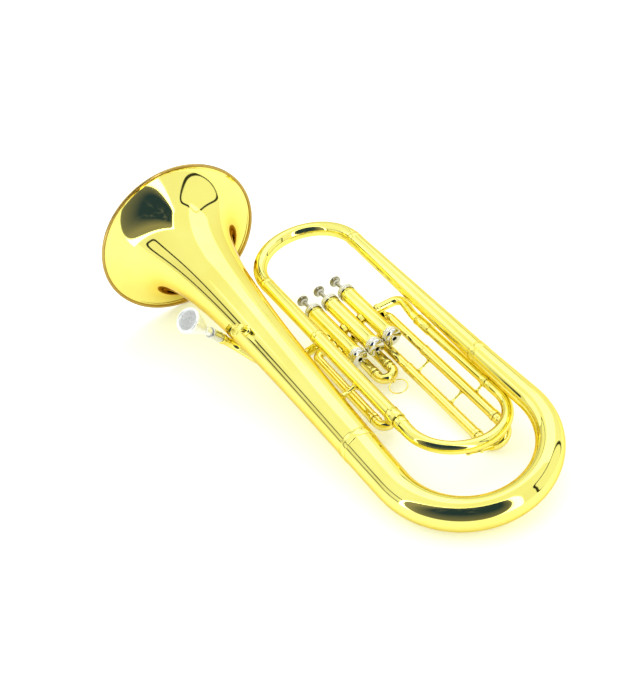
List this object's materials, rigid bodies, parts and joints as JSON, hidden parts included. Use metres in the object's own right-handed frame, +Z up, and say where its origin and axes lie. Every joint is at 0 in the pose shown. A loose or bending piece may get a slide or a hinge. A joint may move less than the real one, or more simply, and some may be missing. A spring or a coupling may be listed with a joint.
{
  "type": "baritone horn",
  "caption": "Brass baritone horn lying at rest: wide bell, oval main tube, upright piston valves with springs, pull slides, water key and cup mouthpiece.",
  "frame": {"origin": "centre of the bounding box's footprint, on the table the horn lies on", "axes": "+Y from the bottom bow towards the bell mouth, +X from the bell towards the outer branch, +Z up from the table; the horn lies with its player side up, tipped on its bell rim, bottom bow and third slide"},
  "size_m": [0.3542, 0.7362, 0.2456],
  "materials": {
    "brass": "clear-lacquered, polished",
    "nickel": "polished nickel plate",
    "silver": "polished silver plate",
    "piston_nickel": "lapped nickel",
    "spring_steel": "drawn wire"
  },
  "bodies": {
    "horn": {"bell": "brass", "bell_joint_ferrule": "brass", "bottom_bow": "brass", "outer_joint_ferrule": "brass", "outer_branch": "brass", "top_bow": "brass", "top_bow_ferrule": "brass", "inner_branch": "brass", "inner_branch_ferrule": "brass", "tuning_sleeve_left": "brass", "tuning_sleeve_right": "brass", "valve_outlet_bend": "brass", "outlet_ferrule": "brass", "valve_casing_1": "brass", "valve_casing_2": "brass", "valve_casing_3": "brass", "valve_guide_1": "brass", "valve_guide_2": "brass", "valve_guide_3": "brass", "crossover_1_2": "brass", "crossover_2_3": "brass", "first_slide_sleeve_a": "brass", "first_slide_sleeve_b": "brass", "second_slide_sleeve_a": "brass", "second_slide_sleeve_b": "brass", "third_slide_sleeve_a": "brass", "third_slide_sleeve_b": "brass", "third_slide_brace_lower": "brass", "third_slide_brace_upper": "brass", "third_slide_stay": "brass", "bell_branch_brace": "brass", "leadpipe": "brass", "leadpipe_ferrule": "brass", "bell_leadpipe_brace": "brass", "lyre_holder": "brass", "top_cap_1": "nickel", "top_cap_2": "nickel", "top_cap_3": "nickel", "bottom_cap_1": "nickel", "bottom_cap_2": "nickel", "bottom_cap_3": "nickel", "mouthpiece_receiver": "nickel", "valve_spring_1": "spring_steel", "valve_spring_2": "spring_steel", "valve_spring_3": "spring_steel"},
    "valve_1": {"piston_1": "piston_nickel", "finger_button_1": "nickel"},
    "valve_2": {"piston_2": "piston_nickel", "finger_button_2": "nickel"},
    "valve_3": {"piston_3": "piston_nickel", "finger_button_3": "nickel"},
    "tuning_slide": {"main_tuning_slide": "brass", "water_key_saddle": "brass"},
    "water_key": {"water_key_lever": "brass"},
    "first_slide": {"first_valve_slide": "brass"},
    "second_slide": {"second_valve_slide": "brass"},
    "pull_ring": {"second_slide_pull_ring": "brass"},
    "third_slide": {"third_valve_slide": "brass"},
    "mouthpiece_body": {"mouthpiece": "silver"},
    "thumbscrew": {"lyre_thumbscrew": "brass"}
  },
  "joints": [
    {"name": "valve_1_press", "type": "slide", "parent": "horn", "child": "valve_1", "axis": [0.0164, -0.9939, -0.1087], "range_m": [0, 0.016], "stiffness_N_per_m": 150, "springref_m": -0.014, "deforming": ["valve_spring_1"]},
    {"name": "valve_2_press", "type": "slide", "parent": "horn", "child": "valve_2", "axis": [0.0164, -0.9939, -0.1087], "range_m": [0, 0.016], "stiffness_N_per_m": 150, "springref_m": -0.014, "deforming": ["valve_spring_2"]},
    {"name": "valve_3_press", "type": "slide", "parent": "horn", "child": "valve_3", "axis": [0.0164, -0.9939, -0.1087], "range_m": [0, 0.016], "stiffness_N_per_m": 150, "springref_m": -0.014, "deforming": ["valve_spring_3"]},
    {"name": "tuning_slide_pull", "type": "slide", "parent": "horn", "child": "tuning_slide", "axis": [0.0164, -0.9939, -0.1087], "range_m": [0, 0.035]},
    {"name": "water_key_press", "type": "hinge", "parent": "tuning_slide", "child": "water_key", "pos_m": [0.07794, -0.25079, 0.0282], "axis": [-0.1975, -0.9705, -0.1383], "range_deg": [0, 12], "stiffness_Nm_per_rad": 0.05, "springref_deg": -17.19},
    {"name": "first_slide_pull", "type": "slide", "parent": "horn", "child": "first_slide", "axis": [0.0164, -0.9939, -0.1087], "range_m": [0, 0.04]},
    {"name": "second_slide_pull", "type": "slide", "parent": "horn", "child": "second_slide", "axis": [0.0164, -0.9939, -0.1087], "range_m": [0, 0.016]},
    {"name": "pull_ring_swing", "type": "hinge", "parent": "second_slide", "child": "pull_ring", "pos_m": [0.07221, -0.0525, 0.01972], "axis": [0.9888, 0, 0.1491], "range_deg": [-85, 95]},
    {"name": "third_slide_pull", "type": "slide", "parent": "horn", "child": "third_slide", "axis": [0.0164, -0.9939, -0.1087], "range_m": [0, 0.06]},
    {"name": "mouthpiece_pull", "type": "slide", "parent": "horn", "child": "mouthpiece_body", "axis": [-0.5734, -0.2361, 0.7845], "range_m": [0, 0.026]},
    {"name": "thumbscrew_turn", "type": "hinge", "parent": "horn", "child": "thumbscrew", "pos_m": [-0.07407, 0.07657, 0.1072], "axis": [-0.5563, 0.732, -0.3933], "continuous": true}
  ]
}
